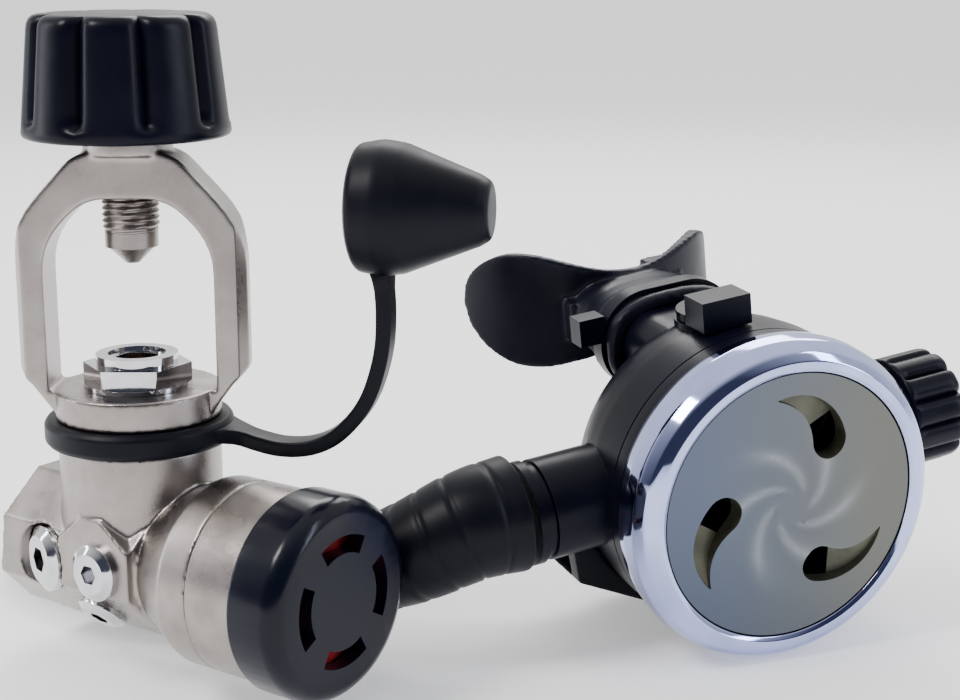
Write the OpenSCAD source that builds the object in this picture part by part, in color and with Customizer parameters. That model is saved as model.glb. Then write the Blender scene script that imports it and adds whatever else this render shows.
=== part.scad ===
// Scuba regulator set: a yoke first stage, a low-pressure hose and a second stage.
// Origin: centre of the inlet seat, +Z up the yoke axis.

/* [Yoke clamp] */
// Width of the yoke opening
yoke_inner_w = 38.4; // [37.5:0.1:39.5]
// Depth of the yoke bar
yoke_depth = 14; // [12:0.5:16]
// Height of the underside of the yoke top above the inlet seat
yoke_top_z = 36.3; // [35:0.1:38]
// Radius of the yoke screw
screw_r = 6.5; // [6:0.1:7]
// Radius of the yoke knob at its lower edge
yoke_knob_r = 23.3; // [20:0.1:25]

/* [First stage] */
// Height of the body axis relative to the inlet seat
body_z = -47.6; // [-48.5:0.1:-47]
// Half width of the eight-sided body
body_apothem = 17; // [16:0.5:18]
// Radius of the diaphragm clamp
clamp_r = 22; // [21:0.1:22.5]
// Radius of the black end cap
cap_r = 23.2; // [22.8:0.1:24]

/* [Hose] */
// Outer diameter of the low-pressure hose
hose_d = 10.6; // [10:0.1:11]

/* [Second stage] */
// Radius of the chrome bezel
bezel_r = 40; // [38:0.5:41]
// Radius of the purge plate
plate_r = 32.6; // [31:0.1:32.7]
// Travel of the purge plate
purge_travel = 3; // [1:0.5:3]
// Radius of the adjustment knob
knob_r = 14.5; // [13:0.5:15]

/* [Hidden] */
$fn = 48;
body_yaw = -35.5;
strap_yaw = -10;
second_at = [149, 4, -36];
second_turn = [0, 0, 22.5];
second_tilt = [4, 0, 0];
second_roll = [0, -8, 0];
fit = 0.06;
gap = 0.3;
neck_r = 18.7;
neck_spigot_r = 16.8;
neck_shoulder_z = -20.4;
yoke_base_z = -14.4;
retainer_shank_r = 9;
seam_x = 34;
cap_x = 47.5;
slot_r = 13;
slot_w = 4;
slot_half_angle = 29;
barrel_y = 22;
barrel_z = 2;
barrel_r = 6.5;
arm_end_x = -51.7;
spout_z = 27;
venturi_y = 26;
tee_z = -27;
ferrule_from = 11.7;
ferrule_len = 10;

// Hose route: from the ferrule, through not quite two close turns on the floor, up to the second stage
hose_route = [
    [29, 27, -48], [33, 35, -49.5], [34, 45, -54], [34, 57, -59], [30, 69, -64], [24, 82, -69],
    [13, 92, -70], [-3, 96, -70], [-18, 92, -70], [-29, 82, -70], [-34, 70, -70], [-30, 57, -70],
    [-19, 46, -70], [-4, 38, -70], [12, 37, -70], [27, 43, -70], [37, 58, -70], [37, 79, -70],
    [26, 96, -70], [8, 107, -70], [-12, 107, -70], [-30, 98, -70], [-42, 83, -70], [-44, 65, -70],
    [-38, 49, -70], [-25, 36, -70], [-9, 27, -70], [9, 21, -69.5], [28, 15, -65], [47, 6, -56],
    [63, -1.5, -48], [77, -1.8, -41.2], [87.3, 2, -39.4]
];
hose_last = len(hose_route) - 1;
hose_split = hose_last - 3;

// Strap centre line in the strap plane: distance from the yoke axis, height
strap_line = [
    [22.5, -17.6], [28, -19.6], [34.7, -20.8], [41, -20.3], [46.5, -18], [51, -14], [54.6, -9],
    [57, -3], [58.6, 4], [59, 11.5], [58.6, 19.2]
];

// ---------- frames and shared shapes ----------

module in_body_frame() {
    translate([0, 0, body_z])
        rotate([0, 0, body_yaw])
            children();
}

module in_strap_frame() {
    rotate([0, 0, strap_yaw])
        children();
}

module in_second_frame() {
    translate(second_at)
        rotate(second_turn)
            rotate(second_tilt)
                rotate(second_roll)
                    children();
}

module along_x(x = 0, y = 0, z = 0) {
    translate([x, y, z])
        rotate([0, 90, 0])
            children();
}

module along_y(x = 0, y = 0, z = 0) {
    translate([x, y, z])
        rotate([-90, 0, 0])
            children();
}

module tube(r_out, r_in, h) {
    difference() {
        cylinder(r = r_out, h = h);
        translate([0, 0, -1])
            cylinder(r = r_in, h = h + 2);
    }
}

// Slot shape with round ends, w wide along X, h high along Y
module stadium(w, h) {
    square([w - h, h], center = true);
    for (side = [-1, 1])
        translate([side * (w - h) / 2, 0])
            circle(r = h / 2);
}

// Bar of stadium section along +Y
module oval_bar(w, h, y_from, y_to, z) {
    translate([0, y_to, z])
        rotate([90, 0, 0])
            linear_extrude(y_to - y_from)
                stadium(w, h);
}

function curve_point(p, i, t) =
    let (
        a = i > 0 ? p[i - 1] : 2 * p[0] - p[1],
        b = p[i],
        c = p[i + 1],
        d = i + 2 < len(p) ? p[i + 2] : 2 * c - b
    )
    0.5 * (2 * b + (c - a) * t + (2 * a - 5 * b + 4 * c - d) * t * t + (3 * b - a - 3 * c + d) * t * t * t);

function curve(p, from, to, n) =
    concat([for (i = [from:to - 1], k = [0:n - 1]) curve_point(p, i, k / n)], [curve_point(p, to - 1, 1)]);

function unit(v) = v / norm(v);

function heading(p, i) = unit(p[min(i + 1, len(p) - 1)] - p[max(i - 1, 0)]);

// Ring of points round one station of a path that never runs straight up
function ring(p, i, r, sides) =
    let (
        t = heading(p, i),
        s = unit(cross(t, [0, 0, 1])),
        u = cross(s, t)
    )
    [for (k = [0:sides - 1]) p[i] + r * (cos(360 * k / sides) * s + sin(360 * k / sides) * u)];

module swept_tube(p, radii, sides) {
    n = len(p);
    points = [for (i = [0:n - 1]) each ring(p, i, radii[i], sides)];
    side_faces = [
        for (i = [0:n - 2], k = [0:sides - 1])
            [i * sides + k, i * sides + (k + 1) % sides, (i + 1) * sides + (k + 1) % sides, (i + 1) * sides + k]
    ];
    first = [for (k = [sides - 1:-1:0]) k];
    last = [for (k = [0:sides - 1]) (n - 1) * sides + k];
    polyhedron(points = points, faces = concat([first], side_faces, [last]));
}

// Round-wire coil spring along +Z
module coil_spring(r, wire_r, length, turns, steps = 14, sides = 6) {
    n = turns * steps;
    rise = length - 2 * wire_r;
    points = [
        for (i = [0:n], k = [0:sides - 1])
            let (a = 360 * i / steps, q = r + wire_r * cos(360 * k / sides))
            [q * cos(a), q * sin(a), wire_r + rise * i / n + wire_r * sin(360 * k / sides)]
    ];
    side_faces = [
        for (i = [0:n - 1], k = [0:sides - 1])
            [i * sides + k, (i + 1) * sides + k, (i + 1) * sides + (k + 1) % sides, i * sides + (k + 1) % sides]
    ];
    first = [for (k = [0:sides - 1]) k];
    last = [for (k = [sides - 1:-1:0]) n * sides + k];
    polyhedron(points = points, faces = concat([first], side_faces, [last]));
}

// ---------- first stage ports ----------

port_bore_r = 4.7;
gauge_bore_r = 5.6;

module front_port() {
    translate([3.8, -19, 0.4])
        rotate([90, 0, 0])
            children();
}

module low_front_port() {
    translate([-2, -12.02, -12.02])
        rotate([135, 0, 0])
            children();
}

module low_back_port() {
    translate([-14, 12.02, -12.02])
        rotate([-135, 0, 0])
            children();
}

module hose_port() {
    translate([8, 17, 0])
        rotate([-90, 0, 0])
            children();
}

module gauge_port() {
    translate([-15.5, -15.2, -1])
        rotate([90, 0, -18])
            children();
}

module plug(head_r, head_h, stem_r, stem_h, hex_r) {
    difference() {
        union() {
            translate([0, 0, -stem_h])
                cylinder(r = stem_r, h = stem_h + 0.5);
            translate([0, 0, 0.02])
                cylinder(r = head_r, h = head_h * 0.5);
            translate([0, 0, head_h * 0.5])
                cylinder(r1 = head_r, r2 = head_r * 0.72, h = head_h * 0.5);
        }
        translate([0, 0, -1])
            cylinder(r = hex_r, h = head_h + 2, $fn = 6);
    }
}

// ---------- first stage ----------

module valve_body_outer() {
    in_body_frame() {
        difference() {
            along_x(-36)
                rotate([0, 0, 22.5])
                    cylinder(r = body_apothem / cos(22.5), h = 50, $fn = 8);
            // slanted end, longer at its lower edge
            translate([-31.5, -25, -4])
                rotate([0, 8, 0])
                    translate([-20, 0, -40])
                        cube([20, 50, 80]);
        }
        difference() {
            translate([0, -8, 0])
                rotate([90, 0, 0])
                    linear_extrude(11)
                        polygon([[-8.7, -15], [13.5, -15], [13.5, 6.5], [5.5, 12.6], [-1, 12.6], [-8.7, 6.5]]);
            low_front_port()
                translate([-20, -20, 0])
                    cube([40, 40, 20]);
        }
        along_x(14)
            cylinder(r1 = 16.4, r2 = clamp_r, h = 12);
        along_x(26)
            cylinder(r = clamp_r, h = seam_x - 26);
    }
    translate([0, 0, body_z])
        cylinder(r = neck_r, h = neck_shoulder_z - body_z);
    translate([0, 0, body_z])
        cylinder(r = neck_spigot_r, h = yoke_base_z - body_z);
}

module valve_body() {
    color("silver")
        difference() {
            valve_body_outer();
            translate([0, 0, -32])
                cylinder(r = retainer_shank_r + fit, h = 40);
            translate([0, 0, body_z])
                cylinder(r = 3, h = 30);
            in_body_frame() {
                along_x(-23)
                    cylinder(r = 6.05, h = 17);
                along_x(-7)
                    cylinder(r = 2.3, h = 6);
                along_x(-2)
                    cylinder(r = 8, h = 17);
                along_x(14.5)
                    cylinder(r = 15, h = seam_x);
                front_port() {
                    translate([0, 0, -6])
                        cylinder(r = port_bore_r, h = 8);
                    translate([0, 0, -13])
                        cylinder(r = 2, h = 8);
                }
                low_front_port()
                    translate([0, 0, -6])
                        cylinder(r = port_bore_r, h = 8);
                low_back_port()
                    translate([0, 0, -6])
                        cylinder(r = port_bore_r, h = 8);
                hose_port() {
                    translate([0, 0, -6])
                        cylinder(r = port_bore_r, h = 8);
                    translate([0, 0, -11])
                        cylinder(r = 2, h = 8);
                    cylinder(r = 8.5, h = 6);
                }
                gauge_port() {
                    translate([0, 0, -7])
                        cylinder(r = gauge_bore_r, h = 9);
                    cylinder(r = 8.3, h = 10);
                }
            }
        }
}

module yoke_retainer() {
    color("lightgray")
        difference() {
            union() {
                translate([0, 0, -2.4])
                    cylinder(r = 9.4, h = 2.4);
                translate([0, 0, -6.6])
                    cylinder(r = 12.6, h = 4.4, $fn = 6);
                translate([0, 0, -7.5])
                    cylinder(r = 12.4, h = 1);
                translate([0, 0, -31])
                    cylinder(r = retainer_shank_r, h = 24);
            }
            translate([0, 0, -1.2])
                cylinder(r = 6.6, h = 3);
            translate([0, 0, -22])
                cylinder(r = 5, h = 24);
            translate([0, 0, -33])
                cylinder(r = 3, h = 24);
        }
}

module inlet_filter() {
    color("peru")
        translate([0, 0, -21.9]) {
            cylinder(r = 4.9, h = 1.6);
            translate([0, 0, 1.6])
                cylinder(r1 = 4.2, r2 = 1.2, h = 14);
        }
}

module filter_clip() {
    color("gainsboro")
        translate([0, 0, -20.2])
            difference() {
                tube(4.95, 4.25, 0.9);
                translate([0, -0.8, -1])
                    cube([10, 1.6, 4]);
            }
}

// Outline with its corners rounded off, cut[i] back from corner i
function softened(p, cut, steps = 5) = [
    for (i = [0:len(p) - 1])
        let (
            n = len(p),
            from = p[i] + cut[i] * unit(p[(i + n - 1) % n] - p[i]),
            to = p[i] + cut[i] * unit(p[(i + 1) % n] - p[i])
        )
        each [
            for (k = [0:cut[i] > 0 ? steps : 0])
                let (t = k / steps)
                (1 - t) * (1 - t) * from + 2 * t * (1 - t) * p[i] + t * t * to
        ]
];

module yoke_front_outline() {
    corners = [
        [-17.8, -13], [-23, -6], [-26.3, -3], [-26.3, 29.8], [-10.9, 46.8],
        [10.9, 46.8], [26.3, 29.8], [26.3, -3], [23, -6], [17.8, -13]
    ];
    polygon(softened(corners, [0, 0, 0, 9, 4, 4, 9, 0, 0, 0]));
}

module yoke_opening_outline() {
    w = yoke_inner_w / 2;
    corners = [[-w, -7.5], [-w, 26.2], [-9.3, yoke_top_z], [9.3, yoke_top_z], [w, 26.2], [w, -7.5]];
    polygon(softened(corners, [0, 7, 5, 5, 7, 0]));
}

module yoke() {
    color("silver")
        difference() {
            union() {
                intersection() {
                    translate([0, yoke_depth / 2, 0])
                        rotate([90, 0, 0])
                            linear_extrude(yoke_depth)
                                yoke_front_outline();
                    translate([0, 0, -20])
                        linear_extrude(80)
                            polygon([
                                [-24.2, -7], [24.2, -7], [26.3, -2.5], [26.3, 2.5],
                                [24.2, 7], [-24.2, 7], [-26.3, 2.5], [-26.3, -2.5]
                            ]);
                }
                translate([0, 0, yoke_base_z])
                    cylinder(r = 19, h = 6.8);
                translate([0, 0, 46])
                    cylinder(r = 10, h = 3.6);
            }
            translate([0, 20, 0])
                rotate([90, 0, 0])
                    linear_extrude(40)
                        yoke_opening_outline();
            translate([0, 0, -20])
                cylinder(r = retainer_shank_r + fit, h = 20);
            translate([0, 0, 30])
                cylinder(r = screw_r + fit, h = 30);
        }
}

module screw_tip() {
    color("gainsboro")
        difference() {
            union() {
                translate([0, 0, 21.1])
                    cylinder(r1 = 1.6, r2 = 5.4, h = 3.8);
                translate([0, 0, 24.9])
                    cylinder(r = 6, h = 3.5);
            }
            translate([0, 0, 25.9])
                cylinder(r = 2 + fit, h = 4);
        }
}

module yoke_screw() {
    color("silver") {
        translate([0, 0, 28.5])
            cylinder(r = screw_r, h = 43.5);
        translate([0, 0, 26.2])
            cylinder(r = 2, h = 3);
    }
}

module yoke_knob() {
    color("#15171f")
        difference() {
            union() {
                translate([0, 0, 49.9])
                    cylinder(r = 22.6, h = 1.4);
                translate([0, 0, 51.2])
                    cylinder(r1 = yoke_knob_r, r2 = 20.8, h = 24);
                translate([0, 0, 75.2])
                    cylinder(r1 = 20.8, r2 = 18.5, h = 1.8);
            }
            for (k = [0:8])
                rotate([0, 0, 40 * k + 12])
                    translate([24.6, 0, 53])
                        cylinder(r = 3.4, h = 30);
            translate([0, 0, 45])
                cylinder(r = screw_r + 0.02, h = 27.1);
        }
}

module strap_ring() {
    color("#14151a")
        translate([0, 0, neck_shoulder_z + 0.1])
            tube(21.6, neck_spigot_r + 0.08, 5.8);
}

module strap() {
    path = [for (q = curve(strap_line, 0, len(strap_line) - 1, 2)) [q[0], 0, q[1]]];
    n = len(path);
    half_w = 3.5;
    half_t = 1.7;
    normals = [for (i = [0:n - 1]) let (t = heading(path, i)) [-t[2], 0, t[0]]];
    points = [
        for (i = [0:n - 1]) each [
            path[i] - half_t * normals[i] + [0, -half_w, 0],
            path[i] + half_t * normals[i] + [0, -half_w, 0],
            path[i] + half_t * normals[i] + [0, half_w, 0],
            path[i] - half_t * normals[i] + [0, half_w, 0]
        ]
    ];
    side_faces = [
        for (i = [0:n - 2], k = [0:3])
            [4 * i + k, 4 * i + (k + 1) % 4, 4 * i + 4 + (k + 1) % 4, 4 * i + 4 + k]
    ];
    color("#14151a")
        in_strap_frame()
            polyhedron(
                points = points,
                faces = concat([[3, 2, 1, 0]], side_faces, [[4 * n - 4, 4 * n - 3, 4 * n - 2, 4 * n - 1]])
            );
}

module dust_cap() {
    color("#15161c")
        in_strap_frame()
            along_x(52, 0, 35)
                difference() {
                    rotate_extrude()
                        polygon([
                            [0, 0], [11.6, 0], [13.6, 1.2], [14.8, 3.6], [15.2, 7], [14.6, 11.5], [7.6, 29],
                            [6.6, 30.6], [5, 31.2], [0, 31.2]
                        ]);
                    translate([0, 0, -1])
                        cylinder(r = 9.6, h = 9);
                }
}

module diaphragm_clamp() {
    color("silver")
        in_body_frame()
            difference() {
                along_x(seam_x + 0.1)
                    cylinder(r = clamp_r, h = cap_x - seam_x - 0.2);
                along_x(seam_x - 1)
                    cylinder(r = 12.6, h = 20);
                along_x(seam_x - 1)
                    cylinder(r = 16.05, h = 2.6);
            }
}

module ambient_cap() {
    color("#12141a")
        in_body_frame()
            difference() {
                along_x(cap_x)
                    rotate_extrude()
                        polygon([
                            [0, 9.5], [16.2, 9.5], [16.2, 6.5], [19.6, 6.5], [19.6, 0], [cap_r - 0.4, 0],
                            [cap_r, 0.8], [cap_r, 9.3], [22.5, 11.4], [21.2, 12.8], [19.4, 13.5], [0, 13.5]
                        ]);
                for (k = [0:3])
                    along_x(cap_x + 8)
                        rotate([0, 0, 90 * k - slot_half_angle])
                            rotate_extrude(angle = 2 * slot_half_angle)
                                translate([slot_r - slot_w / 2, 0])
                                    square([slot_w, 8]);
            }
}

module spring_adjuster() {
    color("firebrick")
        in_body_frame()
            difference() {
                union() {
                    along_x(cap_x - 5)
                        cylinder(r = 12.5, h = 13);
                    along_x(cap_x + 5.5)
                        cylinder(r = 15.8, h = 2.5);
                }
                along_x(cap_x - 6)
                    cylinder(r = 3.5, h = 16, $fn = 6);
            }
}

module main_spring() {
    color("dimgray")
        in_body_frame()
            along_x(37.6)
                coil_spring(9.6, 0.6, 4.8, 2);
}

module spring_carrier() {
    color("tan")
        in_body_frame()
            along_x(36.4)
                cylinder(r = 11.8, h = 1.1);
}

module main_diaphragm() {
    color("#22252e")
        in_body_frame()
            along_x(seam_x + 0.15)
                difference() {
                    cylinder(r = 16, h = 1.3);
                    translate([0, 0, -1])
                        cylinder(r = 2, h = 4);
                }
}

module pushrod() {
    color("gold")
        in_body_frame() {
            along_x(-1.5)
                cylinder(r = 1.4, h = 31.5);
            along_x(30)
                cylinder(r = 10, h = 1.6);
            along_x(31)
                cylinder(r = 1.9, h = 5.35);
        }
}

module inlet_poppet() {
    color("goldenrod")
        in_body_frame() {
            along_x(-12)
                cylinder(r = 4, h = 5.95);
            along_x(-17)
                cylinder(r = 2, h = 5);
            along_x(-7.6)
                cylinder(r = 1.2, h = 6.05);
        }
}

module inlet_poppet_spring() {
    color("dimgray")
        in_body_frame()
            along_x(-22.8)
                coil_spring(3.4, 0.5, 9.3, 4);
}

module port_plugs() {
    color("lightgray")
        in_body_frame() {
            front_port()
                plug(6.6, 2.6, port_bore_r - fit, 5.6, 2.4);
            low_front_port()
                plug(6, 2.4, port_bore_r - fit, 5.6, 2.4);
            low_back_port()
                plug(6, 2.4, port_bore_r - fit, 5.6, 2.4);
        }
}

module gauge_port_plug() {
    color("lightgray")
        in_body_frame()
            gauge_port()
                translate([0, 0, 0.3])
                    plug(7.8, 3, gauge_bore_r - fit, 6, 3.1);
}

module plug_o_rings() {
    color("#1a1a1d")
        in_body_frame()
            gauge_port()
                translate([0, 0, 0.01])
                    tube(7.4, gauge_bore_r + 0.02, 0.28);
}

module hose_fitting() {
    color("silver")
        in_body_frame()
            hose_port()
                difference() {
                    union() {
                        translate([0, 0, -5.5])
                            cylinder(r = port_bore_r - fit, h = 6);
                        translate([0, 0, 0.02])
                            cylinder(r = 6.4, h = 1.6);
                        translate([0, 0, 1.6])
                            cylinder(r = 8.1, h = 8, $fn = 6);
                        translate([0, 0, 9.6])
                            cylinder(r = 5.6, h = 2);
                    }
                    translate([0, 0, -6])
                        cylinder(r = 2, h = 20);
                }
}

module hose_ferrule() {
    color("silver")
        in_body_frame()
            hose_port()
                translate([0, 0, ferrule_from])
                    tube(6.9, 3, ferrule_len);
}

module hose() {
    path = curve(hose_route, 0, hose_split, 2);
    color("#16171c")
        swept_tube(path, [for (q = path) hose_d / 2], 10);
}

module hose_protector() {
    path = curve(hose_route, hose_split, hose_last, 4);
    n = len(path) - 1;
    color("#17181e")
        swept_tube(path, [for (i = [0:n]) 10.6 + 3.3 * i / n], 16);
}

// ---------- second stage ----------

module swivel_nut() {
    color("#15161b")
        in_second_frame()
            along_x(-56.2, barrel_y, barrel_z)
                difference() {
                    union() {
                        cylinder(r = 12.6, h = 2.2);
                        translate([0, 0, 2.2])
                            cylinder(r = 11.6, h = 2);
                    }
                    translate([0, 0, 1])
                        cylinder(r = barrel_r + fit, h = 4);
                }
}

module case_bowl(inset, y_front) {
    rotate([-90, 0, 0])
        rotate_extrude($fn = 96)
            polygon([
                [0, y_front], [38.5 - inset, y_front], [38.5 - inset, 20], [37.8 - inset, 27],
                [36.6 - inset, 31.5], [33.5 - inset, 36 - inset * 0.4], [28 - inset, 40 - inset * 0.8],
                [20, 42 - inset], [0, 42.6 - inset]
            ]);
}

module second_stage_case() {
    color("#14151b")
        in_second_frame()
            difference() {
                union() {
                    case_bowl(0, 10.1);
                    along_x(arm_end_x, barrel_y, barrel_z)
                        cylinder(r = 12.3, h = 25);
                    along_x(25, barrel_y, barrel_z)
                        cylinder(r = 11.5, h = 16.5);
                    oval_bar(30, 18, 30, 60, spout_z);
                    translate([0, venturi_y, 28])
                        cylinder(r = 9, h = 10.6);
                }
                case_bowl(2.2, 13);
                along_y(0, 9)
                    cylinder(r = 36.6, h = 5.5);
                along_x(arm_end_x - 1, barrel_y, barrel_z)
                    cylinder(r = barrel_r + 0.02, h = 100);
                oval_bar(25, 13, 20, 62, spout_z);
                translate([0, venturi_y, 20])
                    cylinder(r = 3 + fit, h = 30);
                along_y(0, 34, tee_z)
                    cylinder(r = 7.5, h = 12);
            }
}

module front_cover() {
    color("#101116")
        in_second_frame()
            difference() {
                union() {
                    along_y(0, 2.6)
                        cylinder(r = 36.4, h = 7.4);
                    along_y(0, 5.7)
                        cylinder(r = 38.5, h = 4.3);
                }
                along_y(0, 5)
                    cylinder(r = 33.4, h = 8);
                along_y()
                    cylinder(r = 4.3, h = 12);
                for (k = [0:5])
                    rotate([0, 60 * k, 0])
                        along_y(20, 0)
                            cylinder(r = 6.5, h = 12);
            }
}

module bezel() {
    color("#d5dcf5")
        in_second_frame()
            rotate([-90, 0, 0])
                rotate_extrude($fn = 120)
                    polygon([
                        [32.9, -3.2], [32.9, -7.2], [33.8, -8], [35.2, -8.1], [36.8, -7.4], [38.2, -6],
                        [39.3, -4], [39.9, -1.6], [bezel_r, 0.2], [39.7, 2.6], [38.9, 5.5], [36.6, 5.5],
                        [36.6, -1.4]
                    ]);
}

// Comma-shaped vent: half width along a curved line that runs from a round head to a pointed tail
function vent_spine(u) =
    let (a = 52 + 42 * u, r = 18 + 9 * u + 1.6 * sin(180 * u))
    [r * cos(a), r * sin(a)];

function vent_side(u, side) =
    let (
        t = unit(vent_spine(u + 0.01) - vent_spine(u - 0.01)),
        w = 4.4 * (1 - pow(u, 1.4)) + 0.15
    )
    vent_spine(u) + side * w * [-t[1], t[0]];

module vent_2d() {
    steps = 8;
    polygon(concat(
        [for (i = [0:steps]) vent_side(i / steps, 1)],
        [for (i = [steps:-1:0]) vent_side(i / steps, -1)]
    ));
    translate(vent_spine(0))
        circle(r = 4.5);
}

module purge_plate() {
    color("#76828f")
        in_second_frame() {
            along_y(0, -5.1)
                cylinder(r = 3.9, h = 12.4);
            difference() {
                along_y(0, -7.1)
                    cylinder(r = plate_r, h = 2, $fn = 96);
                for (k = [0:2])
                    rotate([0, -120 * k, 0])
                        rotate([90, 0, 0])
                            linear_extrude(10)
                                vent_2d();
            }
        }
}

module purge_spring() {
    color("gray")
        in_second_frame()
            along_y(0, -5)
                coil_spring(6.5, 0.45, 7.4, 3);
}

module demand_diaphragm() {
    color("#5a5f66")
        in_second_frame() {
            along_y(0, 11.1)
                cylinder(r = 34, h = 1);
            along_y(0, 10.15)
                tube(36.5, 33.6, 2.6);
        }
}

module demand_lever() {
    leg = barrel_r + 0.5;
    color("silver")
        in_second_frame() {
            translate([-4, 12.25, barrel_z - leg - 1.2])
                cube([6, 0.7, 2 * leg + 2.4]);
            for (side = [-1, 1])
                translate([0, 0, barrel_z + side * (leg + 0.6) - 0.6]) {
                    translate([-2, 12.3, 0])
                        cube([23, 1.6, 1.2]);
                    translate([17, 12.3, 0])
                        cube([4, 8.5, 1.2]);
                }
        }
}

module valve_barrel() {
    color("gainsboro")
        in_second_frame()
            difference() {
                along_x(-54.9, barrel_y, barrel_z)
                    cylinder(r = barrel_r, h = 96);
                along_x(-60, barrel_y, barrel_z)
                    cylinder(r = 3, h = 60);
                along_x(-38, barrel_y, barrel_z)
                    cylinder(r = 5, h = 90);
                along_y(4, 22, barrel_z)
                    cylinder(r = 2.4, h = 10);
            }
}

module orifice_seat() {
    color("gold")
        in_second_frame()
            along_x(-37.9, barrel_y, barrel_z)
                difference() {
                    cylinder(r = 4.95, h = 7.9);
                    translate([0, 0, -1])
                        cylinder(r = 1.8, h = 12);
                }
}

module poppet() {
    color("ivory")
        in_second_frame() {
            along_x(-29.9, barrel_y, barrel_z)
                cylinder(r = 4.5, h = 3);
            along_x(-27, barrel_y, barrel_z)
                cylinder(r = 2.4, h = 24);
            along_x(-3.2, barrel_y, barrel_z)
                cylinder(r = 4.5, h = 2);
        }
}

module poppet_spring() {
    color("gray")
        in_second_frame()
            along_x(-0.4, barrel_y, barrel_z)
                coil_spring(3.8, 0.45, 16, 6);
}

module spring_pad() {
    color("gainsboro")
        in_second_frame()
            difference() {
                along_x(16.8, barrel_y, barrel_z)
                    cylinder(r = 4.9, h = 5);
                along_x(19, barrel_y, barrel_z)
                    cylinder(r = 2 + fit, h = 5);
            }
}

module adjusting_shaft() {
    color("silver")
        in_second_frame() {
            along_x(20.6, barrel_y, barrel_z)
                cylinder(r = 2, h = 6);
            along_x(24, barrel_y, barrel_z)
                cylinder(r = 4.94, h = 18);
            along_x(42, barrel_y, barrel_z)
                cylinder(r = 3.5, h = 13);
        }
}

module adjust_knob() {
    color("#13141a")
        in_second_frame()
            difference() {
                union() {
                    along_x(42.1, barrel_y, barrel_z)
                        cylinder(r = 12.6, h = 4.8);
                    along_x(46.5, barrel_y, barrel_z)
                        cylinder(r = knob_r, h = 13.3);
                    along_x(59.8, barrel_y, barrel_z)
                        cylinder(r1 = knob_r, r2 = knob_r - 2, h = 1.8);
                }
                for (k = [0:11])
                    along_x(47.8, barrel_y, barrel_z)
                        rotate([0, 0, 30 * k])
                            translate([knob_r + 0.9, 0, 0])
                                cylinder(r = 2, h = 25);
                along_x(41, barrel_y, barrel_z)
                    cylinder(r = 3.53, h = 14.1);
            }
}

module venturi_lever() {
    color("#121318")
        in_second_frame() {
            translate([0, venturi_y, 38.8])
                cylinder(r = 8.4, h = 2);
            translate([0, venturi_y, 24])
                cylinder(r = 3, h = 15);
            translate([-8.5, 14, 38.8])
                cube([13, 9, 7.4]);
        }
}

module venturi_vane() {
    color("#2a2c33")
        in_second_frame()
            difference() {
                translate([-5, venturi_y - 4.5, 22.2])
                    cube([10, 9, 1.7]);
                translate([0, venturi_y, 20])
                    cylinder(r = 1.2, h = 6);
            }
}

module mouthpiece() {
    color("#14151b")
        in_second_frame()
            difference() {
                union() {
                    oval_bar(36, 24, 45, 72, spout_z);
                    intersection() {
                        translate([0, 110, 8])
                            tube(40, 37.2, 40);
                        oval_bar(76, 31, 60, 97, spout_z + 1);
                    }
                    for (side = [-1, 1])
                        translate([side * 15 - 1.5, 70, spout_z - 5.5])
                            cube([3, 20, 11]);
                }
                oval_bar(30.2, 18.2, 40, 60.2, spout_z);
                oval_bar(24, 11, 40, 80, spout_z);
            }
}

module mouthpiece_tie() {
    color("#0e0f13")
        in_second_frame()
            difference() {
                union() {
                    oval_bar(38.6, 26.6, 49, 53.6, spout_z);
                    translate([-25, 48.4, 29])
                        cube([7, 5.8, 7]);
                }
                oval_bar(36.2, 24.2, 45, 60, spout_z);
            }
}

module tee_outline(inset) {
    polygon([
        [-41 + inset, -12 - inset], [-40 + inset, -24 + inset * 0.4], [-13 + inset * 0.3, -39.5 + inset],
        [13 - inset * 0.3, -39.5 + inset], [40 - inset, -24 + inset * 0.4], [41 - inset, -12 - inset],
        [22, -14 - inset], [-22, -14 - inset]
    ]);
}

module exhaust_tee() {
    color("#121319")
        in_second_frame()
            difference() {
                translate([0, 51, 0])
                    rotate([90, 0, 0])
                        linear_extrude(23)
                            tee_outline(0);
                translate([0, 49, 0])
                    rotate([90, 0, 0])
                        linear_extrude(19)
                            tee_outline(2);
                for (side = [-1, 1])
                    translate([side * 40 - 4, 33, -23.5])
                        cube([8, 14, 9]);
                case_bowl(-0.1, 0);
            }
}

module exhaust_valve() {
    color("#3a3d44")
        in_second_frame()
            along_y(0, 42.4, tee_z + 2)
                cylinder(r = 8.6, h = 1);
}

valve_body();
yoke_retainer();
inlet_filter();
filter_clip();
yoke();
screw_tip();
yoke_screw();
yoke_knob();
strap_ring();
strap();
dust_cap();
diaphragm_clamp();
ambient_cap();
spring_adjuster();
main_spring();
spring_carrier();
main_diaphragm();
pushrod();
inlet_poppet();
inlet_poppet_spring();
port_plugs();
gauge_port_plug();
plug_o_rings();
hose_fitting();
hose_ferrule();
hose();
hose_protector();
swivel_nut();
second_stage_case();
front_cover();
bezel();
purge_plate();
purge_spring();
demand_diaphragm();
demand_lever();
valve_barrel();
orifice_seat();
poppet();
poppet_spring();
spring_pad();
adjusting_shaft();
adjust_knob();
venturi_lever();
venturi_vane();
mouthpiece();
mouthpiece_tie();
exhaust_tee();
exhaust_valve();
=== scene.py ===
"""Scuba regulator set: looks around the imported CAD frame."""

import math

import bmesh
import bpy
from mathutils import Matrix, Vector
from mathutils.geometry import delaunay_2d_cdt


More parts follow.
